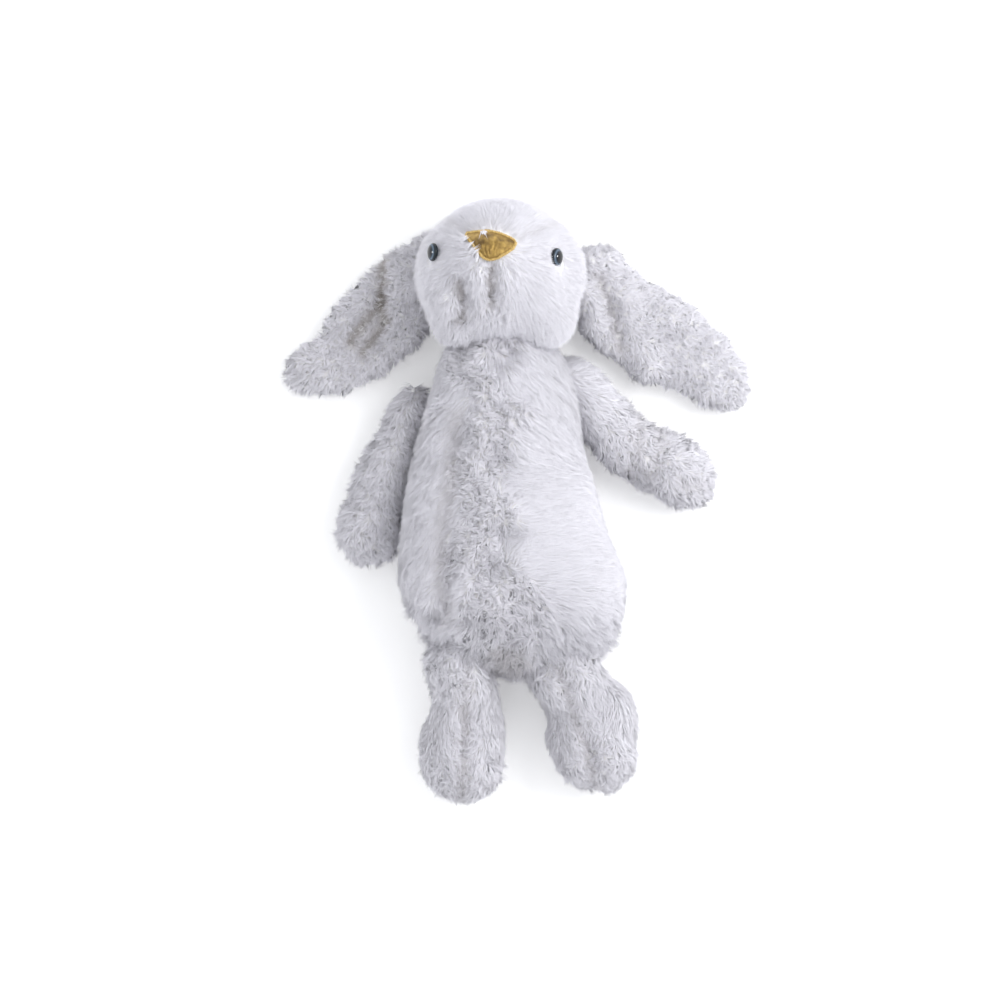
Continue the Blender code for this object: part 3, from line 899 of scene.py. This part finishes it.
# %% Satin stitches round the nose
STITCH_GAP = 0.5
STITCH_RISE = 0.25
closed = np.vstack([NOSE_OUTLINE, NOSE_OUTLINE[:1]])
run = np.append(0, np.cumsum(np.linalg.norm(np.diff(closed, axis=0), axis=1)))
places = np.arange(0, run[-1], STITCH_GAP)
dice = np.random.default_rng(3)
stitches = []
for place_along in places:
    spot = np.array([np.interp(place_along, run, closed[:, axis]) for axis in range(2)])
    ahead = np.array([np.interp((place_along + 0.5) % run[-1], run, closed[:, axis]) for axis in range(2)])
    across = np.array([-(ahead - spot)[1], (ahead - spot)[0]])
    lean = math.atan2(across[1], across[0]) + dice.normal(scale=0.08)
    deselect()
    middle = (spot[0] * MM, spot[1] * MM, (top_of_head(*spot) + LIFT + STITCH_RISE) * MM)
    bpy.ops.mesh.primitive_uv_sphere_add(
        segments=8, ring_count=6, radius=MM, location=middle, rotation=(0, 0, lean))
    stitch = bpy.context.object
    stitch.scale = (0.95 * dice.uniform(0.9, 1.1), 0.3, 0.55)
    stitches.append(stitch)
deselect()
for stitch in stitches:
    stitch.select_set(True)
bpy.context.view_layer.objects.active = stitches[0]
bpy.ops.object.join()
edge = bpy.context.object
edge.name = "nose_edge_stitches"
settle(edge)
bpy.ops.object.shade_smooth()
edge.data.materials.append(LIGHTER_PAINTED_THREAD)
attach(edge, "head")
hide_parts("nose_stitching")
print(len(places), "stitches round the nose")

# %% [markdown]
# ## Hair
#
# Hair could be a particle system, but that isn't a mesh and can't go into a part library. Here
# every hair is a closed three-sided spike, bent once. Hairs are scattered evenly over a skin, leant
# the way the cloth is combed, and drawn together in tufts. The tufts matter most: they give plush
# its soft shadows.
#
# The first helpers work on all roots at once. One gives the part of a direction that lies in the
# cloth, one picks the same rows out of several arrays, and one finds the roots that are inside
# another stuffed form.


# %% Helpers for roots
def along_surface(vectors, normals):
    """The part of each vector that lies in the cloth."""
    return vectors - normals * np.sum(vectors * normals, axis=1, keepdims=True)


def pick(chosen, *rows):
    """The chosen rows of several arrays."""
    return [row[chosen] for row in rows]


def buried(points, body, others, margin=1.0):
    """True where a root lies inside another skin, where no hair shows."""
    hidden = np.zeros(len(points), bool)
    for other in others:
        reach = get_points(SKINS[other].data)
        low, high = reach.min(axis=0), reach.max(axis=0)
        for index in np.flatnonzero(np.all((points > low) & (points < high), axis=1) & ~hidden):
            spot, normal, face, gap = TREES[other].find_nearest(Vector(points[index] * MM))
            hidden[index] = (Vector(points[index] * MM) - spot).dot(normal) < -margin * MM
    return hidden


print("root helpers ready")

# %% [markdown]
# Roots are spread by area, so large faces get more of them. Each root gets its own share of the
# total area, which spaces them more evenly than plain chance would. The underside isn't seen, so it
# gets half as many.


# %% Scatter roots over a skin
DENSITY = 4.0  # hairs on a square millimetre


def scatter(skin, per_mm2, seed):
    """Roots and normals spread evenly over a skin, with fewer hairs where it lies on the floor."""
    mesh = skin.data
    mesh.calc_loop_triangles()
    corners = np.empty(len(mesh.loop_triangles) * 3, int)
    mesh.loop_triangles.foreach_get("vertices", corners)
    corners = corners.reshape(-1, 3)
    points, normals = get_points(mesh), get_normals(mesh)
    first, second, third = (points[corners[:, index]] for index in range(3))
    facing = np.cross(second - first, third - first)
    area = np.linalg.norm(facing, axis=1) / 2
    downwards = facing[:, 2] / np.maximum(2 * area, 1e-9) < -0.5
    total = np.cumsum(area * per_mm2 * np.where(downwards, 0.5, 1.0))
    dice = np.random.default_rng(seed)
    count = int(total[-1])
    which = np.searchsorted(total, (np.arange(count) + dice.uniform(size=count)) * total[-1] / count)
    which = np.minimum(which, len(corners) - 1)
    spread, split = np.sqrt(dice.uniform(size=count)), dice.uniform(size=count)
    weights = np.column_stack([1 - spread, spread * (1 - split), spread * split])
    roots = np.einsum("nk,nkc->nc", weights, points[corners[which]])
    outwards = unit(np.einsum("nk,nkc->nc", weights, normals[corners[which]]))
    return roots, outwards


print("density", DENSITY)

# %% [markdown]
# Thousands of hairs are far too many for operators, so their points and faces are worked out as
# arrays and written into one mesh. All hairs have the same faces, so one pattern is repeated. Each
# point's own tone, shade and shading direction are stored on the mesh, and every hair gets its own
# small cell in the UV map.


# %% Build hairs as one mesh
HAIR_TAPER = 0.25
OWN_SHADING = 0.4
LOWEST_HAIR = 0.3
TIP_AT = 0.9


def hair_mesh(name, rows, thick, tones, shades, soft, seed):
    """Pointed three-sided hairs through rows of points, the last of which is the tip.

    soft is the direction of the cloth under each hair. The hairs' shading leans towards it, because light
    scatters through plush and evens out the two sides of a hair.
    """
    dice = np.random.default_rng(seed)
    count, rings = len(rows[0]), len(rows) - 1
    size = rings * 3 + 1
    spin = dice.uniform(0, 2 * math.pi, count)
    reference = unit(dice.normal(size=(count, 3)))
    vertices = np.empty((count, size, 3))
    shading = np.empty((count, size, 3))
    for row in range(rings):
        step = unit(rows[row + 1] - rows[row])
        side = unit(np.cross(step, reference))
        up = np.cross(step, side)
        for corner in range(3):
            angle = spin + corner * 2 * math.pi / 3
            outwards = side * np.cos(angle)[:, None] + up * np.sin(angle)[:, None]
            vertices[:, row * 3 + corner] = rows[row] + outwards * (thick * (1 - HAIR_TAPER * row))[:, None]
            shading[:, row * 3 + corner] = unit(soft + outwards * OWN_SHADING)
    vertices[:, -1] = rows[-1]
    shading[:, -1] = unit(soft)
    vertices[:, :, 2] = np.maximum(vertices[:, :, 2], FLOOR / MM + LOWEST_HAIR)
    faces = [(0, 2, 1)]
    for row in range(rings - 1):
        first = row * 3
        faces += [(first + a, first + b, first + 3 + b, first + 3 + a) for a, b in ((0, 1), (1, 2), (2, 0))]
    last = (rings - 1) * 3
    faces += [(last + a, last + b, size - 1) for a, b in ((0, 1), (1, 2), (2, 0))]
    pattern = np.array([corner for face in faces for corner in face])
    starts = np.cumsum([0] + [len(face) for face in faces[:-1]])
    offsets = np.arange(count)[:, None]
    mesh = bpy.data.meshes.new(name)
    mesh.vertices.add(count * size)
    mesh.loops.add(count * len(pattern))
    mesh.polygons.add(count * len(faces))
    mesh.vertices.foreach_set("co", (vertices * MM).ravel())
    mesh.loops.foreach_set("vertex_index", (pattern + offsets * size).ravel())
    mesh.polygons.foreach_set("loop_start", (starts + offsets * len(pattern)).ravel())
    mesh.polygons.foreach_set("use_smooth", np.ones(count * len(faces), bool))
    mesh.update(calc_edges=True)
    mesh.normals_split_custom_set_from_vertices(shading.reshape(-1, 3))
    heights = np.append(np.repeat(np.linspace(0, TIP_AT, rings + 1)[:-1], 3), 1.0)
    tone = mesh.attributes.new("tone", "FLOAT", "POINT")
    tone.data.foreach_set("value", np.clip(heights + tones[:, None], 0, 1).ravel())
    shade = mesh.attributes.new("shade", "FLOAT", "POINT")
    shade.data.foreach_set("value", np.repeat(np.clip(shades, 0, 1), size))
    cells = math.ceil(math.sqrt(count))
    around = np.append(np.tile([0.2, 0.5, 0.8], rings), 0.5)
    place_u = (np.arange(count)[:, None] % cells + around[pattern]) / cells
    place_v = (np.arange(count)[:, None] // cells + 0.1 + 0.8 * heights[pattern]) / cells
    layer = mesh.uv_layers.new(name="OFBake")
    layer.data.foreach_set("uv", np.stack([place_u, place_v], axis=2).ravel())
    piece = bpy.data.objects.new(name, mesh)
    bpy.context.scene.collection.objects.link(piece)
    piece.data.materials.append(PILE)
    return piece


print("a bent hair has 7 points, a straight one 4")

# %% [markdown]
# A coat starts with where its hairs lean. Random waves over the cloth turn them aside where the
# pile is messy. Then every hair leans towards the nearest middle of a tuft. Its shading follows the
# cloth and the tuft rather than its own thin sides, because real plush scatters light from one hair
# to the next.


# %% Grow a coat
def grow(name, body, roots, normals, comb, length, lay, mess, shade, tuft=3.0, hold=0.42, thick=0.2,
         bent=True, curl_size=4.5, seed=1):
    """Hairs from roots, on a body.

    comb is where they lean, lay how flat they lie, mess how far they wander, and shade their painted
    shade. tuft is how wide the tufts are, and hold how firmly they draw their hairs together.
    """
    dice = np.random.default_rng(seed)
    count = len(roots)
    wild = wander(roots, curl_size, seed + 1) + 0.7 * wander(roots, curl_size * 0.45, seed + 2)
    lean = along_surface(unit(along_surface(comb, normals)) + wild * mess[:, None], normals)
    lean = lean / np.maximum(np.linalg.norm(lean, axis=1, keepdims=True), 0.7)
    stretch = length * dice.uniform(0.7, 1.15, count)
    rise = np.clip(1.25 - lay, 0.05, 1)[:, None]
    curl = wander(roots, 2.6, seed + 3) * (0.9 * mess)[:, None]
    start = roots - normals * 0.3
    bend = start + unit(normals * (rise + 0.35) + lean) * (stretch * 0.5)[:, None]
    tip = bend + unit(normals * (rise - 0.1) + lean + curl) * (stretch * 0.6)[:, None]
    middles = dice.choice(count, size=max(int(count * (tuft ** -2) / DENSITY), 1), replace=False)
    tree = KDTree(len(middles))
    for index, middle in enumerate(middles):
        tree.insert(roots[middle], index)
    tree.balance()
    nearest = middles[np.array([tree.find(root)[1] for root in roots])]
    pull = (hold * np.clip(0.25 + mess, 0, 1.1) * dice.uniform(0.7, 1.1, count))[:, None]
    tip = tip + (tip[nearest] - tip) * pull + dice.normal(scale=0.35, size=(count, 3)) * (1 + mess)[:, None]
    bend = bend + (bend[nearest] - bend) * pull * 0.45
    soft = unit(normals + (roots - roots[nearest]) / tuft * (0.1 + 0.45 * mess)[:, None])
    soft *= (3.6 - 1.6 * np.clip(mess, 0, 1))[:, None]
    rows = [start, bend, tip] if bent else [start, tip]
    piece = hair_mesh(name, rows, np.full(count, thick) * dice.uniform(0.8, 1.2, count),
                      dice.normal(scale=0.05, size=count), shade, soft, seed + 4)
    sew_on(piece, body)
    print(name, count, "hairs", len(piece.data.vertices), "points")


print("coats can be grown")

# %% [markdown]
# ### Torso hair
#
# The two front panels meet in a seam down the belly. The pile of both runs into it and stands up in
# a band of untidy tufts, which is bent hair. Further out the hair is brushed flat towards the
# sides, so straight hairs are enough there, and can be finer and closer.

# %% Lie of the torso's pile
roots, normals = scatter(torso, DENSITY, 11)
keep = ~buried(roots, "torso", ("head", "left_arm", "right_arm", "left_leg", "right_leg"))
roots, normals = pick(keep, roots, normals)
seam_x = smooth_through([point[1] for point in FRONT_SEAM], [point[0] for point in FRONT_SEAM], roots[:, 1])
side = roots[:, 0] - seam_x
front = np.clip(normals[:, 2] * 3, 0, 1)
strays = wander(roots, 16.0, 9)[:, 0] * 5.0
band = np.exp(-(np.abs(side + 6.0 + strays) / (14.0 - 0.04 * roots[:, 1])) ** 4) * front
down = np.where(side < 0, -1.3, 0.1 - 1.2 * np.clip((roots[:, 1] - 5) / 45, 0, 1))
hem = np.clip((-42 - roots[:, 1]) / 30.0, 0, 1)
down = down - 1.6 * hem
comb = np.column_stack([np.clip(side / 10.0, -1, 1), down, np.zeros(len(side))])
fringe = hem * np.clip(-normals[:, 1] * 1.6, 0, 1) * (normals[:, 2] > -0.2)
mess = 0.07 + 0.8 * band * np.clip((86 - roots[:, 1]) / 25, 0.35, 1)
mess = mess + 0.1 * (side < -10) + 0.1 * hem + 0.5 * fringe
lay = 0.92 - 0.5 * band - 0.4 * fringe
length = 8.0 - 1.2 * (side < -10) * (1 - band) - 1.9 * band + 1.0 * hem + 3.0 * fringe
length = length - 2.0 * (normals[:, 2] < -0.4)
# Painted shade: the hair is darkened in the side valley, a little in the untidy band, and under the seat
# between the legs.
valley = distance_to_line(roots[:, :2], SIDE_VALLEY) + 99 * (normals[:, 2] < 0)
seat_painted_shade = np.exp(-((roots[:, 0] + 2.5) / 9.0) ** 4) * np.clip(-normals[:, 1] * 1.5, 0, 1) * (roots[:, 1] < -70)
shade = 0.2 * np.exp(-(valley / 4.0) ** 2) + 0.05 * band + 0.3 * seat_painted_shade
print(len(roots), "roots on the torso,", int((band > 0.3).sum()), "of them in the untidy band")

# %% [markdown]
# The coat is grown as six pieces, so that none is too heavy. The two in the band are tousled: bent
# hairs in small tight tufts. The others are brushed, and some of those that nobody sees are left
# out.

# %% Torso coat
TOUSLED = {"bent": True, "thick": 0.2, "tuft": 1.5, "curl_size": 2.7}
BRUSHED = {"bent": False, "thick": 0.17, "tuft": 3.2, "curl_size": 5.0}
messy = band > 0.3
dice = np.random.default_rng(5)
thinned = dice.uniform(size=len(roots)) < 0.85
left = side > 0
under = normals[:, 2] <= 0
upper = roots[:, 1] > 0
patches = {
    "torso_band_upper_pile": messy & thinned & upper,
    "torso_band_lower_pile": messy & thinned & ~upper,
    "torso_front_left_pile": ~messy & left & ~under,
    "torso_front_right_pile": ~messy & ~left & ~under,
    "torso_back_left_pile": ~messy & left & under & thinned,
    "torso_back_right_pile": ~messy & ~left & under & thinned}
for index, (name, mine) in enumerate(patches.items()):
    kind = TOUSLED if "band" in name else BRUSHED
    grow(name, "torso", *pick(mine, roots, normals, comb, length, lay, mess, shade),
         seed=20 + index, **kind)

# %% [markdown]
# ### Head hair
#
# On the face the pile is shorter and combed away from the nose in every direction. It is shortest
# beside the nose, the mouth and the eyes. Round the eyes it lies away from the dome, and no hair
# grows under the nose.

# %% Comb of the head's pile
roots, normals = scatter(head, DENSITY * 0.97, 12)
keep = ~buried(roots, "head", ("torso", "left_ear", "right_ear"))
for middle in EYES.values():
    keep &= np.linalg.norm(roots - middle, axis=1) > EYE_RADIUS - 1.2
keep &= ~(inside_outline(roots[:, :2], NOSE_OUTLINE) & (normals[:, 2] > 0.3))
roots, normals = pick(keep, roots, normals)
from_nose = roots - NOSE
gap = np.linalg.norm(from_nose, axis=1)
comb = unit(from_nose) + np.array([0, -0.15, 0])
lay = np.full(len(roots), 0.90)
upper = normals[:, 2] > 0
eye_gap = np.full(len(roots), 99.0)
for middle in EYES.values():
    off = roots - middle
    eye_gap = np.minimum(eye_gap, np.linalg.norm(off, axis=1))
    beside = np.exp(-(np.linalg.norm(off, axis=1) / 7.0) ** 4)[:, None]
    comb = comb * (1 - beside) - beside * unit(off * np.array([1.0, 0.15, 0.3]))
print(len(roots), "roots on the head")

# %% [markdown]
# Beside the mouth's crease the hair is combed down into it, and painted shade darkens it there and
# along the brow. Round the whole mouth the pile is untidy, so it is a piece of its own, with bent
# hairs. Its edge wanders, so that no line shows.

# %% Head coat
mouth = np.min([distance_to_line(roots[:, :2], line) for line in MOUTH_LINES], axis=0)
mouth = np.where(upper, mouth, 99)
beside = np.exp(-(mouth / 5.0) ** 2)
comb[:, 1] -= 1.2 * beside
comb[:, 0] *= 1 - 0.7 * beside
brow = np.where(upper, distance_to_line(roots[:, :2], BROW_LINE), 99)
# Painted shade in the mouth's creases and along the brow.
shade = 0.55 * np.exp(-(mouth / 2.6) ** 2) + 0.15 * np.exp(-(brow / 2.0) ** 2)
length = np.clip(4.5 + gap * 0.09, 5.0, 7.5) * np.clip(eye_gap / 14.0, 0.5, 1)
length *= 1 - 0.3 * np.exp(-(mouth / 3.5) ** 2)
length = np.maximum(length - 2.0 * (normals[:, 2] < -0.4), 3.2)
mess = 0.06 + 0.42 * np.exp(-(mouth / 10.0) ** 2) + 0.1 * np.exp(-(brow / 6.0) ** 2)
round_mouth = mouth + 2.0 * wander(roots, 9.0, 8)[:, 0] < 9.0
length = length - 1.2 * round_mouth
lay = lay - 0.2 * round_mouth
patches = {
    "head_mouth_pile": round_mouth,
    "head_left_pile": ~round_mouth & (roots[:, 0] > NOSE[0]),
    "head_right_pile": ~round_mouth & (roots[:, 0] <= NOSE[0])}
UNTIDY = {"bent": True, "tuft": 1.6, "curl_size": 2.8}
SMOOTH = {"bent": False, "tuft": 3.0, "curl_size": 4.5}
for index, (name, mine) in enumerate(patches.items()):
    kind = UNTIDY if "mouth" in name else SMOOTH
    grow(name, "head", *pick(mine, roots, normals, comb, length, lay, mess, shade),
         thick=0.17, seed=30 + index, **kind)

# %% [markdown]
# On a real one, the hair beside the nose leans over the edge of the patch in small tufts, one from
# above and the others from the toy's right. They start a little above the skin, so they come out
# over the stitches.

# %% Tufts over the edge of the nose
LOCKS = [
    # middle as shares of the nose's box, way it leans, radius, length
    ((0.36, 1.10), (0.05, -1.0), 1.5, 6.0),
    ((-0.10, 0.70), (1.0, 0.1), 1.2, 3.2),
    ((0.0, 0.44), (0.9, 0.4), 1.3, 3.6),
    ((0.10, 0.20), (0.8, 0.6), 1.4, 3.8),
    ((0.22, 0.0), (0.5, 0.9), 1.3, 3.2)]
LOCK_LIFT = np.array([0, 0, 1.5])
lock_roots, lock_normals, lock_comb, lock_long = [], [], [], []
for share, way, reach, long in LOCKS:
    middle = NOSE_LOW[:2] + np.array(share) * NOSE_SIZE
    chosen = (np.linalg.norm(roots[:, :2] - middle, axis=1) < reach) & upper
    lock_roots.append(roots[chosen] + LOCK_LIFT)
    lock_normals.append(unit(normals[chosen] + LOCK_LIFT))
    lock_comb.append(np.tile([*way, 0.0], (chosen.sum(), 1)))
    lock_long.append(np.full(chosen.sum(), long + 2.0))
lock_roots, lock_normals, lock_comb = (np.vstack(rows) for rows in (lock_roots, lock_normals, lock_comb))
lock_long = np.concatenate(lock_long)
count = len(lock_roots)
grow("nose_tufts_pile", "head", lock_roots, lock_normals, lock_comb, lock_long, np.full(count, 0.6),
     np.full(count, 0.15), np.zeros(count), tuft=1.6, hold=1.0, seed=36)

# %% [markdown]
# ### Hair of the limbs, ears and tail
#
# Each limb is combed from its seam to its end, and fans out from the middle. Its pile is smooth
# near the body and tousled at the end. It is shorter underneath, and shorter in the folds and
# seams, where painted shade darkens it. All of them share one helper, so that only what differs is
# said for each.


# %% Limb coat
COMB_DOWN = np.array([0, 0, -0.2])
CALM = 0.16  # how messy the smooth part of a limb is


def limb_coat(name, body, way_deg, seed, away=("torso",), long=6.5, messy=0.55, tuft=1.5, flat=0.72,
              fans=0.5, grooves=(), painted_groove_shade=0.7, smooth_to=-50.0, middle_messy=False, curl=2.8,
              dense=0.75, painted_limb_shade=0.03):
    """A limb's hair, combed along the limb and outwards from its middle line, and shaded in its grooves.

    away names the bodies that hide its roots. The pile is smooth up to smooth_to along the limb.
    The hair is darkened by painted shade over the whole limb and, more, in its grooves.
    """
    roots, normals = scatter(SKINS[body], DENSITY * dense, seed)
    roots, normals = pick(~buried(roots, body, away), roots, normals)
    turn = math.radians(way_deg)
    way = np.array([math.cos(turn), math.sin(turn), 0.0])
    across = np.array([-way[1], way[0], 0.0])
    off = (roots - joint_place(BENDS[body][1])) @ across
    out = (roots - joint_place(BENDS[body][1])) @ way
    comb = way + np.outer(np.clip(off / 12.0, -1, 1), across) * fans + COMB_DOWN
    count = len(roots)
    under = normals[:, 2] < -0.35
    length = np.full(count, long) - 2.5 * under
    # Painted shade: a little over the whole limb, more on the side away from the lamp and in the grooves.
    shade = np.full(count, painted_limb_shade)
    ruffled = np.clip((out - smooth_to) / 14.0, 0, 1) + middle_messy * np.exp(-(off / 8.0) ** 2)
    ruffled += 1.2 * middle_messy * np.exp(-((out + 12) / 9.0) ** 2)
    mess = CALM + (messy - CALM) * np.clip(ruffled, 0, 1.2)
    for line in grooves:
        near = distance_to_line(roots[:, :2], line) + 99 * (normals[:, 2] < 0)
        near = np.exp(-(near / 3.0) ** 2)
        shade += painted_groove_shade * near
        length *= 1 - 0.3 * near
    lay = np.full(count, flat)
    grow(name + "_pile", body, *pick(~under, roots, normals, comb, length, lay, mess, shade),
         tuft=tuft, curl_size=curl, thick=0.19, seed=seed + 1)
    grow(name + "_under_pile", body, *pick(under, roots, normals, comb, length, lay, mess, shade),
         tuft=tuft, thick=0.25, bent=False, seed=seed + 2)


print("limb coats can be grown")

# %% [markdown]
# The legs are tousled down the middle and where they leave the torso, and their hair closes over
# the seam. The ears have the finest and shortest pile, with beige painted shade in the folds. The
# arms are smooth at the shoulder only. The toy's right arm and right ear, away from the lamp, get a
# little more painted shade.

# %% Coats of the limbs, ears and tail
limb_coat("left_arm", "left_arm", -36, 40, grooves=ARM_FOLDS, painted_groove_shade=0.16, smooth_to=-8.0)
# More painted shade on the toy's right side, away from the lamp.
limb_coat("right_arm", "right_arm", -107, 42, smooth_to=-8.0, painted_limb_shade=0.05)
LEG_PILE = {
    "fans": -0.6, "painted_groove_shade": 0.25, "smooth_to": 30.0, "messy": 0.5, "flat": 0.8, "middle_messy": True}
limb_coat("left_leg", "left_leg", -77, 44, grooves=LEG_SEAMS[:1], **LEG_PILE)
limb_coat("right_leg", "right_leg", -90, 46, grooves=LEG_SEAMS[1:], **LEG_PILE)
EAR_PILE = {
    "away": ("head",), "long": 4.8, "messy": 0.62, "tuft": 1.3, "flat": 0.55, "curl": 2.3,
    "dense": 0.95}
limb_coat("left_ear", "left_ear", -30, 48, grooves=LEFT_EAR_FOLDS, painted_groove_shade=0.3, **EAR_PILE)
limb_coat("right_ear", "right_ear", 215, 50, grooves=RIGHT_EAR_FOLDS, painted_limb_shade=0.06, **EAR_PILE)
limb_coat("tail", "tail", -90, 52, long=7.0)

# %% [markdown]
# The hair of the torso and the head was given its body as it grew, and the skins get theirs last,
# because their shape has to be final first. The sewn-on skins and their hair only have their places
# put into their meshes.

# %% Body of each skin
for body, skin in SKINS.items():
    sew_on(skin, body)
print(len(BENDS), "of", len(SKINS), "skins bend at a seam")
